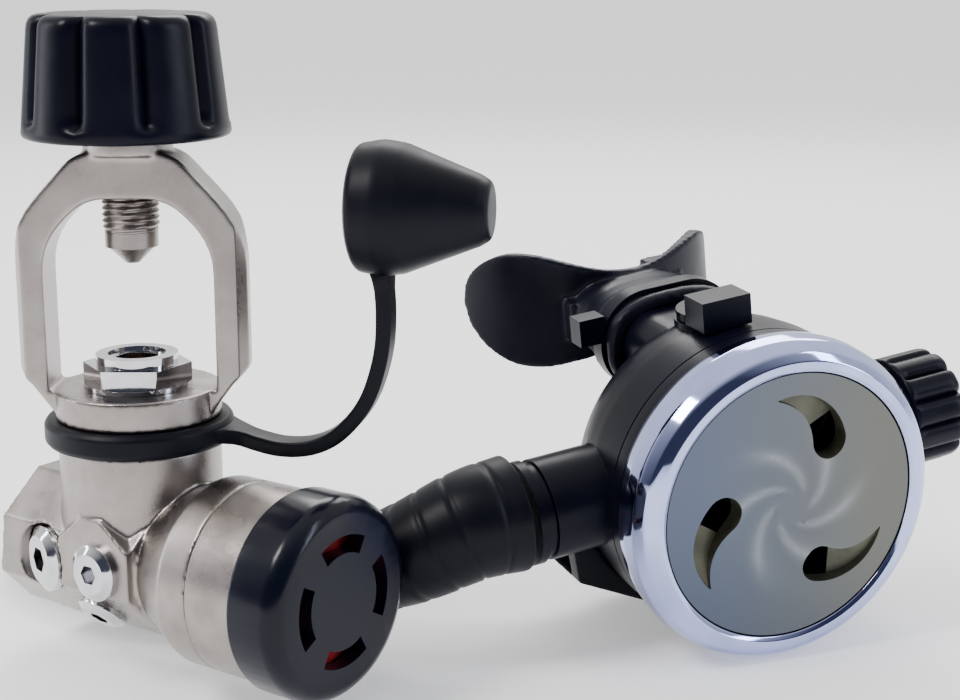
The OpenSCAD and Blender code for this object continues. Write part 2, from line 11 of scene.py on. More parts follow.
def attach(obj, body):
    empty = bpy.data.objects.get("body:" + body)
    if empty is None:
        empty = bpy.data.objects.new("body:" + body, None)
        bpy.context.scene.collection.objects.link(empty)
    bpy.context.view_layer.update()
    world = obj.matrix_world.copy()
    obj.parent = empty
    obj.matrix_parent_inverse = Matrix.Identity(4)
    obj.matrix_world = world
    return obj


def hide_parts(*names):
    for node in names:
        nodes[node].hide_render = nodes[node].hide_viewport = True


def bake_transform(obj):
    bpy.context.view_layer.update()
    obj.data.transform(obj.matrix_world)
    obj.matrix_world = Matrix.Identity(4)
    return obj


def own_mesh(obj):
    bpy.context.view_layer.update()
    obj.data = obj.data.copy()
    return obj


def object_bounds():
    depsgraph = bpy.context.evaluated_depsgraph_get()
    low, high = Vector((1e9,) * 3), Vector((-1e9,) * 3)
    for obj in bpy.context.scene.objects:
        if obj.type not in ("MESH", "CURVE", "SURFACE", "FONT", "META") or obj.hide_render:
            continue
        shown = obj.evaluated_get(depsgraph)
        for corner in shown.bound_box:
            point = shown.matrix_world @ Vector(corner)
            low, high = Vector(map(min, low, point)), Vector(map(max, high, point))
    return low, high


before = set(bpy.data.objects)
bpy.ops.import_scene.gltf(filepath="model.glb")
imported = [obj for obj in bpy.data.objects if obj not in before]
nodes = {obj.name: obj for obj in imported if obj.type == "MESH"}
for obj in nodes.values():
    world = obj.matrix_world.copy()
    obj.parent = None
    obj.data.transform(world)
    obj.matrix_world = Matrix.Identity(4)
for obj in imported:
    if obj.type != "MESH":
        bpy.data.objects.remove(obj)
cad_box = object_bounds()

MM = 0.001


# ---------- frames of the CAD's sub-assemblies, in millimetres ----------

def shift(x, y, z):
    return Matrix.Translation((x, y, z))


def turn(degrees, axis):
    return Matrix.Rotation(math.radians(degrees), 4, axis)


WORLD = Matrix.Identity(4)
BODY = shift(0, 0, -47.6) @ turn(-35.5, "Z")
STRAP = turn(-10, "Z")
SECOND = shift(149, 4, -36) @ turn(22.5, "Z") @ turn(4, "X") @ turn(-8, "Y")
TO_X = turn(90, "Y")
TO_Y = turn(-90, "X")
BARREL_Y, BARREL_Z = 22, 2
PURGE_SEAT_Y = -5
SPOUT_Z = 27


# ---------- camera, light and floor ----------

def make_camera():
    data = bpy.data.cameras.new("camera")
    data.sensor_width = 36
    data.lens = 67.5
    data.clip_start = 0.01
    camera = bpy.data.objects.new("camera", data)
    camera.location = (0.0791, -0.4043, 0.0938)
    camera.rotation_euler = (math.radians(90 - 13), 0, 0)
    bpy.context.scene.collection.objects.link(camera)
    bpy.context.scene.camera = camera


def area_light(name, at, aim, size, power, tint):
    data = bpy.data.lights.new(name, "AREA")
    data.shape = "RECTANGLE"
    data.size, data.size_y = size
    data.energy = power
    data.color = tint
    lamp = bpy.data.objects.new(name, data)
    lamp.location = at
    lamp.rotation_euler = (Vector(aim) - Vector(at)).to_track_quat("-Z", "Y").to_euler()
    bpy.context.scene.collection.objects.link(lamp)


def make_lights():
    aim = (0.08, 0, -0.02)
    area_light("key", (-0.55, -0.35, 0.8), aim, (0.3, 0.3), 8, (1, 0.98, 0.96))
    area_light("side", (0.95, -0.25, 0.35), aim, (0.12, 0.7), 3.0, (0.75, 0.82, 1))
    area_light("back", (0.25, 0.85, 0.7), aim, (0.9, 0.35), 8, (1, 1, 1))
    area_light("strip", (-0.9, 0.1, 0.15), aim, (0.10, 0.8), 3, (0.9, 0.93, 1))


def make_world():
    """Sky that is pale towards the upper back and dark towards the lower front."""
    world = bpy.data.worlds.new("studio")
    world.use_nodes = True
    tree = world.node_tree
    background = tree.nodes["Background"]
    coords = tree.nodes.new("ShaderNodeTexCoord")
    facing = tree.nodes.new("ShaderNodeVectorMath")
    facing.operation = "DOT_PRODUCT"
    facing.inputs[1].default_value = (0, 0.48, 0.30)
    centred = tree.nodes.new("ShaderNodeMath")
    centred.inputs[1].default_value = 0.5
    ramp = tree.nodes.new("ShaderNodeValToRGB")
    tree.links.new(coords.outputs["Generated"], facing.inputs[0])
    tree.links.new(facing.outputs["Value"], centred.inputs[0])
    tree.links.new(centred.outputs[0], ramp.inputs[0])
    ramp.color_ramp.elements[0].color = (0.05, 0.055, 0.08, 1)
    ramp.color_ramp.elements[0].position = 0.30
    ramp.color_ramp.elements[1].color = (1, 1, 1, 1)
    ramp.color_ramp.elements[1].position = 0.72
    tree.links.new(ramp.outputs[0], background.inputs["Color"])
    background.inputs["Strength"].default_value = 1.25
    bpy.context.scene.world = world


def make_floor():
    bpy.ops.mesh.primitive_plane_add(size=60, location=(0, 0, cad_box[0][2]))
    floor = bpy.context.object
    floor.name = "floor"
    pale = plain("floor_white", (0.93, 0.93, 0.94), 0.85)
    surface = pale.node_tree.nodes["Principled BSDF"]
    surface.inputs["Specular IOR Level"].default_value = 0.1
    surface.inputs["Emission Color"].default_value = (1, 1, 1, 1)
    surface.inputs["Emission Strength"].default_value = 0.42
    floor.data.materials.append(pale)


# ---------- materials ----------

def shader(name):
    material = bpy.data.materials.new(name)
    material.use_nodes = True
    return material, material.node_tree, material.node_tree.nodes["Principled BSDF"]


def plain(name, color, roughness):
    material, _, surface = shader(name)
    surface.inputs["Base Color"].default_value = (*color, 1)
    surface.inputs["Roughness"].default_value = roughness
    return material


def object_noise(tree, scale, detail):
    """Noise in the object's own coordinates, scale in features per metre."""
    coords = tree.nodes.new("ShaderNodeTexCoord")
    noise = tree.nodes.new("ShaderNodeTexNoise")
    noise.inputs["Scale"].default_value = scale
    noise.inputs["Detail"].default_value = detail
    tree.links.new(coords.outputs["Object"], noise.inputs["Vector"])
    return noise.outputs["Fac"]


def remap(tree, source, low, high):
    """Stretches the middle of a noise, where most of its values are, to low to high."""
    node = tree.nodes.new("ShaderNodeMapRange")
    node.inputs["From Min"].default_value = 0.3
    node.inputs["From Max"].default_value = 0.7
    node.inputs["To Min"].default_value = low
    node.inputs["To Max"].default_value = high
    tree.links.new(source, node.inputs["Value"])
    return node.outputs["Result"]


def blend_colours(tree, source, dark, light, low=0.3, high=0.7):
    ramp = tree.nodes.new("ShaderNodeValToRGB")
    ramp.color_ramp.elements[0].color = (*dark, 1)
    ramp.color_ramp.elements[0].position = low
    ramp.color_ramp.elements[1].color = (*light, 1)
    ramp.color_ramp.elements[1].position = high
    tree.links.new(source, ramp.inputs[0])
    return ramp.outputs[0]


def bump(tree, surface, source, strength, distance):
    node = tree.nodes.new("ShaderNodeBump")
    node.inputs["Strength"].default_value = strength
    node.inputs["Distance"].default_value = distance
    tree.links.new(source, node.inputs["Height"])
    tree.links.new(node.outputs[0], surface.inputs["Normal"])


GRAIN_DEPTH = 0.06 * MM


def finish_of(name, dark, light, rough, grain, metallic=0.0, blotch=60, specular=0.5, relief=0.2):
    """Surface with blotchy colour, uneven gloss and a fine grain.

    rough is (smoothest, roughest); blotch and grain are in features per metre."""
    material, tree, surface = shader(name)
    broad = object_noise(tree, blotch, 6)
    fine = object_noise(tree, grain, 3)
    tree.links.new(blend_colours(tree, broad, dark, light), surface.inputs["Base Color"])
    tree.links.new(remap(tree, broad, rough[0], rough[1]), surface.inputs["Roughness"])
    bump(tree, surface, fine, relief, GRAIN_DEPTH)
    surface.inputs["Metallic"].default_value = metallic
    surface.inputs["Specular IOR Level"].default_value = specular
    return material


def plate_finish():
    """Blue-grey metallic face, with a painted blue reflection on its left; the vertex attribute "tone" paints
    highlights along the swirl creases.
    """
    material, tree, surface = shader("plate_face")
    tone = tree.nodes.new("ShaderNodeAttribute")
    tone.attribute_name = "tone"
    parts = tree.nodes.new("ShaderNodeSeparateColor")
    tree.links.new(tone.outputs["Color"], parts.inputs[0])
    # painted reflection: blue on the left stands for reflected bluish light, olive on the right is the
    # plate's own colour
    painted_blue_reflection, olive = (0.080, 0.100, 0.145), (0.115, 0.118, 0.105)
    across = blend_colours(tree, parts.outputs[0], painted_blue_reflection, olive, 0.15, 0.85)
    # painted highlight: pale grey mixed in along the crease crests, where the green of tone is high
    glint = tree.nodes.new("ShaderNodeMix")
    glint.data_type = "RGBA"
    glint.inputs["B"].default_value = (0.34, 0.36, 0.38, 1)
    tree.links.new(parts.outputs[1], glint.inputs["Factor"])
    tree.links.new(across, glint.inputs["A"])
    tree.links.new(glint.outputs["Result"], surface.inputs["Base Color"])
    broad = object_noise(tree, 60, 6)
    fine = object_noise(tree, 5200, 3)
    tree.links.new(remap(tree, broad, 0.18, 0.28), surface.inputs["Roughness"])
    bump(tree, surface, fine, 0.08, GRAIN_DEPTH)
    surface.inputs["Metallic"].default_value = 0.85
    surface.inputs["Coat Weight"].default_value = 0.2
    surface.inputs["Coat Roughness"].default_value = 0.12
    return material


MATERIALS = {
    "plate_face": plate_finish(),
    "nickel": finish_of("nickel", (0.25, 0.22, 0.205), (0.37, 0.34, 0.32), (0.24, 0.36), 5200, 1.0, 110,
                        relief=0.6),
    "chrome": finish_of("chrome", (0.52, 0.52, 0.54), (0.70, 0.70, 0.73), (0.06, 0.13), 1500, 1.0, 120,
                        relief=0.05),
    # painted reflection: the bezel's chrome is tinted periwinkle blue for the bluish light that it reflects
    "bezel_chrome": finish_of("bezel_chrome", (0.38, 0.42, 0.70), (0.48, 0.53, 0.84), (0.05, 0.10), 900, 1.0,
                              relief=0.02),
    "steel": finish_of("steel", (0.42, 0.42, 0.43), (0.60, 0.60, 0.60), (0.22, 0.38), 3000, 1.0, 200),
    "brass": finish_of("brass", (0.52, 0.36, 0.13), (0.70, 0.52, 0.24), (0.22, 0.36), 3000, 1.0, 150),
    "bronze": finish_of("bronze", (0.26, 0.14, 0.07), (0.46, 0.28, 0.16), (0.5, 0.75), 4200, 0.8, 900,
                        relief=0.8),
    "black_plastic": finish_of("black_plastic", (0.001, 0.0013, 0.005), (0.003, 0.0035, 0.011), (0.26, 0.38),
                               4200, specular=0.13, relief=0.22),
    "gloss_black": finish_of("gloss_black", (0.002, 0.0025, 0.008), (0.004, 0.005, 0.013), (0.16, 0.26), 3000,
                             specular=0.2, relief=0.1),
    "black_rubber": finish_of("black_rubber", (0.0012, 0.0015, 0.004), (0.0035, 0.004, 0.009), (0.34, 0.5),
                              3600, specular=0.14, relief=0.3),
    "hose_rubber": finish_of("hose_rubber", (0.003, 0.0035, 0.006), (0.007, 0.008, 0.012), (0.42, 0.6), 2500,
                             specular=0.16, relief=0.5),
    "silicone": finish_of("silicone", (0.003, 0.0035, 0.009), (0.007, 0.008, 0.017), (0.30, 0.44), 2600,
                          specular=0.16, relief=0.18),
    "clear_silicone": finish_of("clear_silicone", (0.16, 0.17, 0.18), (0.30, 0.31, 0.33), (0.3, 0.45), 1800,
                                specular=0.5, relief=0.1),
    "vent_olive": finish_of("vent_olive", (0.05, 0.05, 0.032), (0.12, 0.12, 0.085), (0.35, 0.5), 3000, 0.5,
                            160),
    "red_plastic": finish_of("red_plastic", (0.30, 0.012, 0.015), (0.50, 0.025, 0.03), (0.3, 0.45), 2500),
    "white_plastic": finish_of("white_plastic", (0.55, 0.53, 0.48), (0.70, 0.68, 0.63), (0.35, 0.5), 2200),
}


# ---------- mesh helpers ----------

def piece(name, points, faces, place, material, body, stands_for=(), slot=None, smooth=40):
    """New mesh piece from points in millimetres in the frame `place`, riding on a body."""
    mesh = bpy.data.meshes.new(name)
    mesh.from_pydata([(place @ Vector(p)) * MM for p in points], [], faces)
    mesh.validate()
    obj = bpy.data.objects.new(name, mesh)
    bpy.context.scene.collection.objects.link(obj)
    tidy_normals(obj)
    return dress(obj, material, body, stands_for, smooth)


def tidy_normals(obj):
    bm = bmesh.new()
    bm.from_mesh(obj.data)
    bmesh.ops.remove_doubles(bm, verts=bm.verts, dist=1e-6)
    bmesh.ops.recalc_face_normals(bm, faces=bm.faces)
    bm.to_mesh(obj.data)
    bm.free()


def dress(obj, material, body, stands_for=(), smooth=40):
    """Gives a piece its finish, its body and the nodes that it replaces."""
    obj.data.materials.clear()
    obj.data.materials.append(MATERIALS[material])
    obj.data.set_sharp_from_angle(angle=math.radians(smooth))
    obj.data.polygons.foreach_set("use_smooth", [True] * len(obj.data.polygons))
    if body:
        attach(obj, body)
    if stands_for:
        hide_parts(*stands_for)
    return obj


def arc_corner(before, corner, after, radius, steps=5):
    """Points of a round corner between two straight stretches of an outline."""
    a, b, c = Vector(before), Vector(corner), Vector(after)
    to_a, to_c = (a - b).normalized(), (c - b).normalized()
    half = to_a.angle(to_c) / 2
    reach = min(radius / math.tan(half), (a - b).length * 0.49, (c - b).length * 0.49)
    start, end = b + to_a * reach, b + to_c * reach
    along = [i / steps for i in range(steps + 1)]
    return [start * (1 - t) ** 2 + b * 2 * t * (1 - t) + end * t * t for t in along]


def rounded(outline, closed=True):
    """Outline with a radius at each point, (x, y, radius), as a smooth list of points."""
    n = len(outline)
    out = []
    for i, (x, y, radius) in enumerate(outline):
        ends = not closed and i in (0, n - 1)
        if radius <= 0 or ends:
            out.append(Vector((x, y)))
        else:
            out += arc_corner(outline[i - 1][:2], (x, y), outline[(i + 1) % n][:2], radius)
    return [(p[0], p[1]) for p in out]


def lathe(profile, around=128, closed=False):
    """Points and faces of a profile (radius, height) turned about local Z."""
    points, faces = [], []
    n = len(profile)
    for k in range(around):
        a = 2 * math.pi * k / around
        points += [(r * math.cos(a), r * math.sin(a), h) for r, h in profile]
    last = n if closed else n - 1
    for k in range(around):
        m = (k + 1) % around
        for i in range(last):
            j = (i + 1) % n
            faces.append((k * n + i, m * n + i, m * n + j, k * n + j))
    return points, faces


def wrapped(radius_at, heights, around):
    """Points and faces of a closed body whose radius depends on angle and height.

    heights holds (height, factor on the radius) pairs."""
    points = []
    for h, inset in heights:
        for k in range(around):
            a = 2 * math.pi * k / around
            r = radius_at(a, h) * inset
            points.append((r * math.cos(a), r * math.sin(a), h))
    faces = []
    rows = len(heights)
    for i in range(rows - 1):
        for k in range(around):
            m = (k + 1) % around
            faces.append((i * around + k, i * around + m, (i + 1) * around + m, (i + 1) * around + k))
    faces.append(tuple(range(around - 1, -1, -1)))
    faces.append(tuple(range((rows - 1) * around, rows * around)))
    return points, faces


def catmull(points, steps):
    """Smooth curve through points, the same one that the CAD source uses."""
    p = [Vector(q) for q in points]
    ends = [2 * p[0] - p[1]] + p + [2 * p[-1] - p[-2]]
    out = []
    for i in range(1, len(ends) - 2):
        a, b, c, d = ends[i - 1:i + 3]
        for k in range(steps):
            t = k / steps
            out.append(0.5 * (2 * b + (c - a) * t + (2 * a - 5 * b + 4 * c - d) * t * t
                              + (3 * b - a - 3 * c + d) * t ** 3))
    return out + [p[-1]]


def sweep(path, section_at, side_of=None):
    """Points and faces of a tube along path. section_at(i) gives its outline as (side, rise) pairs.

    side_of is the sideways direction where it is the same all along."""
    points, faces = [], []
    n = len(path)
    for i, p in enumerate(path):
        t = (path[min(i + 1, n - 1)] - path[max(i - 1, 0)]).normalized()
        side = side_of or t.cross(Vector((0, 0, 1))).normalized()
        rise = side.cross(t)
        points += [tuple(p + side * x + rise * y) for x, y in section_at(i)]
    m = len(points) // n
    for i in range(n - 1):
        for k in range(m):
            j = (k + 1) % m
            faces.append((i * m + k, i * m + j, (i + 1) * m + j, (i + 1) * m + k))
    faces.append(tuple(range(m - 1, -1, -1)))
    faces.append(tuple((n - 1) * m + k for k in range(m)))
    return points, faces


def refine(node, material, width=0.3, angle=30, segments=2):
    """Keeps a CAD node's shape, rounds its edges and gives it a finish.

    Only edges sharper than the angle, in degrees, are rounded."""
    obj = nodes[node]
    obj.data.materials.clear()
    obj.data.materials.append(MATERIALS[material])
    for polygon in obj.data.polygons:
        polygon.use_smooth = True
    weld = obj.modifiers.new("weld", "WELD")
    weld.merge_threshold = 2e-6
    bevel = obj.modifiers.new("bevel", "BEVEL")
    bevel.width = width * MM
    bevel.segments = segments
    bevel.limit_method = "ANGLE"
    bevel.angle_limit = math.radians(angle)
    normals = obj.modifiers.new("normals", "WEIGHTED_NORMAL")
    normals.keep_sharp = True
    normals.weight = 60


def settle(obj):
    """Puts an object's modifiers into its mesh."""
    bpy.context.view_layer.update()
    graph = bpy.context.evaluated_depsgraph_get()
    final = bpy.data.meshes.new_from_object(obj.evaluated_get(graph))
    obj.modifiers.clear()
    obj.data = final


def soften(obj, voxel, turns):
    """Remeshes an object in voxels and relaxes it, so that its edges are soft and its shells are one."""
    remesh = obj.modifiers.new("remesh", "REMESH")
    remesh.mode = "VOXEL"
    remesh.voxel_size = voxel * MM
    relax = obj.modifiers.new("relax", "SMOOTH")
    relax.factor = 0.5
    relax.iterations = turns
    settle(obj)


def cast(node, material, body, voxel, turns):
    """Soft-edged copy of a CAD node, as a casting has."""
    source = nodes[node]
    mesh = source.data.copy()
    mesh.transform(source.matrix_world)
    obj = bpy.data.objects.new(node + "_casting", mesh)
    bpy.context.scene.collection.objects.link(obj)
    soften(obj, voxel, turns)
    dress(obj, material, body, [node], smooth=85)


# ---------- hose and what is on it ----------

# Centre line, the same points as in the CAD source. The bend protector covers the last stretches.
HOSE_ROUTE = [
    (29, 27, -48), (33, 35, -49.5), (34, 45, -54), (34, 57, -59), (30, 69, -64), (24, 82, -69),
    (13, 92, -70), (-3, 96, -70), (-18, 92, -70), (-29, 82, -70), (-34, 70, -70), (-30, 57, -70),
    (-19, 46, -70), (-4, 38, -70), (12, 37, -70), (27, 43, -70), (37, 58, -70), (37, 79, -70),
    (26, 96, -70), (8, 107, -70), (-12, 107, -70), (-30, 98, -70), (-42, 83, -70), (-44, 65, -70),
    (-38, 49, -70), (-25, 36, -70), (-9, 27, -70), (9, 21, -69.5), (28, 15, -65), (47, 6, -56),
    (63, -1.5, -48), (77, -1.8, -41.2), (87.3, 2, -39.4),
]
HOSE_D = 10.6
PROTECTOR_FROM = 29


def circle_section(radius, sides):
    return [(radius * math.cos(2 * math.pi * k / sides), radius * math.sin(2 * math.pi * k / sides))
            for k in range(sides)]


def make_hose():
    path = catmull(HOSE_ROUTE, 5)
    length = sum((b - a).length for a, b in zip(path, path[1:]))
    data = bpy.data.curves.new("low_pressure_hose", "CURVE")
    data.dimensions = "3D"
    spline = data.splines.new("POLY")
    spline.points.add(len(path) - 1)
    for point, p in zip(spline.points, path):
        point.co = (*(p * MM), 1)
    data.bevel_depth = HOSE_D / 2 * MM
    data.bevel_resolution = 7
    data.use_fill_caps = True
    data.materials.append(MATERIALS["hose_rubber"])
    hose = bpy.data.objects.new("low_pressure_hose", data)
    bpy.context.scene.collection.objects.link(hose)
    spline.use_smooth = True
    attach(hose, "first_stage")
    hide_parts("hose")
    return hose, length * MM


def make_protector():
    """Bend protector: stacked flared cups that widen towards the second stage."""
    steps = 30
    path = catmull(HOSE_ROUTE[PROTECTOR_FROM - 1:], steps)[steps:]
    travel = [0.0]
    for a, b in zip(path, path[1:]):
        travel.append(travel[-1] + (b - a).length)
    whole = travel[-1]
    cup = 6.6

    def radius(i):
        s = travel[i]
        body = 10.9 + 3.1 * s / whole
        f = ((whole - s) / cup) % 1.0
        groove = 0.4 * math.exp(-((min(f, 1 - f)) / 0.07) ** 2) if 5 < s < whole - 3 else 0
        flare = 0.12 * (1 - f) if s > 5 else 0
        ends = min(1, (whole - s) / 1.2, (s + 0.15) / 1.6)
        lip = 1.3 * (1 - math.sqrt(max(0, 1 - (1 - ends) ** 2)))
        return body + flare - groove - lip

    return piece(
        "bend_protector", *sweep(path, lambda i: circle_section(radius(i), 48)), WORLD,
        "black_rubber", "first_stage", ["hose_protector"], smooth=50,
    )


def make_coil(node, place, radius, wire, length, turns, body):
    """Steel spring of even pitch along local Z of its place; wire is the radius of its wire."""
    steps = turns * 28
    lift = length - 2 * wire
    path = []
    for i in range(steps + 1):
        a = 2 * math.pi * turns * i / steps
        path.append(Vector((radius * math.cos(a), radius * math.sin(a), wire + lift * (i / steps))))
    mesh = sweep(path, lambda i: circle_section(wire, 10))
    return piece(node + "_wire", *mesh, place, "steel", body, [node], smooth=70)


# ---------- first stage ----------

def make_yoke_knob():
    """Knob on a plain skirt; its flutes start above the skirt, and its grip narrows upwards."""
    flutes, offset = 9, math.radians(12)
    skirt_r, narrowing, flute_depth = 23.3, 2.5, 2.9

    def radius(a, h):
        u = abs(math.sin(flutes * (a - offset) / 2))
        up = (h - 51) / 25
        depth = flute_depth * min(1, max(0, (h - 52.6) / 1.6))
        return skirt_r - narrowing * max(0, up) - depth * (1 - u) ** 2.4

    heights = [(49.9, 0.90), (49.9, 0.955), (50.2, 0.985), (50.9, 1), (52.4, 1), (52.9, 1), (53.5, 1)]
    heights += [(54.5 + 2 * i, 1) for i in range(10)]
    heights += [(73.8, 1), (75, 0.995), (76, 0.975), (76.6, 0.945), (76.9, 0.90), (77, 0.85), (77.0, 0.5)]
    piece("yoke_knob_grip", *wrapped(radius, heights, 540), WORLD, "black_plastic", "yoke_knob",
          ["yoke_knob"], smooth=50)


def make_screw():
    """Screw whose thread fades in over a tapered start at its lower end."""
    screw_r, pitch, depth, rows = 6.5, 1.4, 0.62, 130
    low, high = 28.5, 52.0

    def radius(a, h):
        phase = (h / pitch - a / (2 * math.pi)) % 1.0
        ease = min(1, max(0, (h - low) / 1.2))
        return screw_r - depth * ease * abs(2 * phase - 1) - 0.5 * (1 - ease)

    heights = [(low + (high - low) * i / rows, 1) for i in range(rows + 1)]
    piece("clamp_screw_thread", *wrapped(radius, heights, 48), WORLD, "nickel", "yoke_knob", ["yoke_screw"],
          smooth=60)


def make_strap():
    """Flat strap that widens at its ring and at the cap, on a path that curves from the one to the other."""
    line = [
        (19.6, -17.4), (24, -18.3), (29, -19.8), (34.7, -20.8), (41, -20.3), (46.5, -18), (51, -14),
        (54.6, -9), (57, -3), (58.6, 4), (59, 11.5), (58.7, 17.5), (58.4, 21.5),
    ]
    path = catmull([(r, 0, z) for r, z in line], 6)
    n = len(path)

    def section(i):
        u = i / (n - 1)
        width = 3.5 + 4.2 * max(0, 1 - u * 8) ** 1.5 + 1.6 * max(0, (u - 0.9) * 10) ** 2
        thick = 1.75 + 0.5 * max(0, (u - 0.9) * 10)
        corners = ((-width, -thick), (width, -thick), (width, thick), (-width, thick))
        return rounded([(x, y, 0.8) for x, y in corners])

    obj = piece("tether_strap", *sweep(path, section, Vector((0, 1, 0))), STRAP, "black_rubber", None,
                ["strap"], smooth=60)
    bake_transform(obj)


def make_strap_ring():
    profile = rounded([
        (16.95, -20.3, 0.4), (20.9, -20.3, 0.8), (21.7, -19.2, 1.2), (21.7, -15.6, 1.2), (20.9, -14.5, 0.8),
        (16.95, -14.5, 0.4),
    ])
    piece("strap_ring_band", *lathe(profile, 128, True), WORLD, "black_rubber", "dust_cap_ring",
          ["strap_ring"])


def make_dust_cap():
    profile = rounded([
        (0, 8.9, 0), (9.6, 8.9, 0.6), (9.6, 0.5, 0.5), (11.4, 0.1, 1), (14.2, 1.2, 4), (15.2, 7, 7),
        (14.4, 12, 6), (7.9, 28.6, 5), (6.4, 31.1, 2.2), (0, 31.1, 0),
    ], closed=False)
    place = STRAP @ shift(52, 0, 35) @ TO_X
    piece("dust_cap_cone", *lathe(profile, 128), place, "black_rubber", "dust_cap", ["dust_cap"], smooth=50)


def first_stage():
    make_coil("main_spring", BODY @ shift(37.6, 0, 0) @ TO_X, 9.6, 0.6, 4.8, 2, "first_stage")
    make_coil("inlet_poppet_spring", BODY @ shift(-22.8, 0, 0) @ TO_X, 3.4, 0.5, 9.3, 4, "first_stage")
    make_yoke_knob()
    make_screw()
    make_strap()
    make_strap_ring()
    make_dust_cap()
    refine("ambient_cap", "gloss_black", 0.5, 28, 3)
    cast("yoke", "nickel", "first_stage", 0.4, 12)
    cast("valve_body", "nickel", "first_stage", 0.45, 5)
    refine("diaphragm_clamp", "nickel", 0.35, 30, 2)
    refine("yoke_retainer", "chrome", 0.35, 28, 2)
    refine("screw_tip", "nickel", 0.3)
    refine("port_plugs", "chrome", 0.5, 25, 3)
    refine("gauge_port_plug", "chrome", 0.5, 25, 3)
    refine("hose_fitting", "chrome", 0.35, 25, 2)
    refine("hose_ferrule", "chrome", 0.5, 30, 3)
    for node, material in (
        ("inlet_filter", "bronze"), ("filter_clip", "steel"), ("spring_adjuster", "red_plastic"),
        ("spring_carrier", "brass"), ("main_diaphragm", "black_rubber"), ("pushrod", "brass"),
        ("inlet_poppet", "brass"), ("plug_o_rings", "black_rubber"),
    ):
        refine(node, material, 0.1)


# ---------- second stage ----------

def make_second_springs():
    across = SECOND @ shift(-0.4, BARREL_Y, BARREL_Z) @ TO_X
    make_coil("poppet_spring", across, 3.8, 0.45, 16, 6, "second_stage")
    behind = SECOND @ shift(0, PURGE_SEAT_Y, 0) @ TO_Y
    purge = make_coil("purge_spring", behind, 6.5, 0.45, 7.4, 3, "purge_button")
    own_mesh(purge)


def make_bezel():
    profile = rounded([
        (32.95, -3.2, 0.3), (32.95, -7.4, 0.35), (34.0, -8.05, 0.8), (35.6, -8.0, 1.2), (37.9, -6.6, 3),
        (39.6, -3.4, 3.5), (40.0, 0.4, 3), (39.6, 3.4, 1.5), (38.8, 5.5, 0.4), (36.7, 5.5, 0.2),
        (36.7, -1.4, 0.2),
    ])
    piece("chrome_bezel", *lathe(profile, 256, True), SECOND @ TO_Y, "bezel_chrome", "second_stage",
          ["bezel"], slot="chrome", smooth=30)


PLATE_R = 32.6
PLATE_FRONT = -7.1
PLATE_BACK = -5.2
VENTS = 3
VENT_STEPS = 26


def spun(outline, degrees):
    c, s = math.cos(math.radians(degrees)), math.sin(math.radians(degrees))
    return [Vector((p.x * c - p.y * s, p.x * s + p.y * c)) for p in outline]


def vent_spine(u):
    """Middle of a vent at u, from 0 at its head to 1 at its tail."""
    a = math.radians(52 + 42 * u)
    r = 18 + 9 * u + 1.6 * math.sin(math.pi * u)
    return Vector((r * math.cos(a), r * math.sin(a)))


def vent_outline(k, grow=0.0):
    """Comma-shaped vent k, round at its head and pointed at its tail."""
    def side(u, sign):
        t = (vent_spine(u + 0.01) - vent_spine(u - 0.01)).normalized()
        w = 4.4 * (1 - u ** 1.4) + 0.12 + grow
        return vent_spine(u) + sign * w * Vector((-t.y, t.x))

    left = [side(i / VENT_STEPS, 1) for i in range(VENT_STEPS + 1)]
    right = [side(i / VENT_STEPS, -1) for i in range(VENT_STEPS, -1, -1)]
    head = vent_spine(0)
    first, last = right[-1] - head, left[0] - head
    a0, a1 = math.atan2(first.y, first.x), math.atan2(last.y, last.x)
    while a1 > a0:
        a1 -= 2 * math.pi
    angles = [a0 + (a1 - a0) * i / 14 for i in range(1, 14)]
    cap = [head + (4.52 + grow) * Vector((math.cos(a), math.sin(a))) for a in angles]
    return spun(left + right + cap, 360 / VENTS * k)


def inside(p, outline):
    """Whether a point is in an outline: an odd number of edges lies to its right."""
    hit = False
    for a, b in zip(outline, outline[1:] + outline[:1]):
        if (a.y > p.y) != (b.y > p.y) and p.x < (b.x - a.x) * (p.y - a.y) / (b.y - a.y) + a.x:
            hit = not hit
    return hit


def swirl(x, y, arms=6):
    """How close a point is to one of the creases that swirl in to the centre, 0 to 1."""
    r = math.hypot(x, y)
    turn_part = (arms * math.atan2(y, x) / (2 * math.pi) - 0.9 * math.log(max(r, 1.5) / 8) + 0.25) % 1.0
    fade = min(1, max(0, (r - 1) / 5)) * min(1, max(0, (27 - r) / 12))
    return fade * (1 - abs(2 * turn_part - 1))


def plate_face(p):
    """Depth of the plate's face at a point: a slight dome with creases."""
    return PLATE_FRONT - (0.35 * (1 - (p.x * p.x + p.y * p.y) / PLATE_R ** 2) + 0.5 * swirl(p.x, p.y) ** 1.4)


def plate_triangles(rim, vents):
    """Flat points and triangles that fill the plate's rim, with the vents left open."""
    margins = [vent_outline(k, 0.5) for k in range(VENTS)]
    flat, edges = [], []
    for loop in [rim] + vents:
        base = len(flat)
        flat += loop
        edges += [(base + i, base + (i + 1) % len(loop)) for i in range(len(loop))]
    step = 1.15
    count = int(PLATE_R / step) + 1
    for i in range(-count, count + 1):
        for j in range(-count, count + 1):
            p = Vector(((i + 0.5 * (j % 2)) * step, j * step * 0.87))
            if p.length < PLATE_R - 0.9 and not any(inside(p, v) for v in margins):
                flat.append(p)
    made = delaunay_2d_cdt(flat, edges, [], 1, 1e-4)
    flat, triangles = made[0], made[2]
    return flat, [t for t in triangles
                  if not any(inside((flat[t[0]] + flat[t[1]] + flat[t[2]]) / 3, v) for v in vents)]


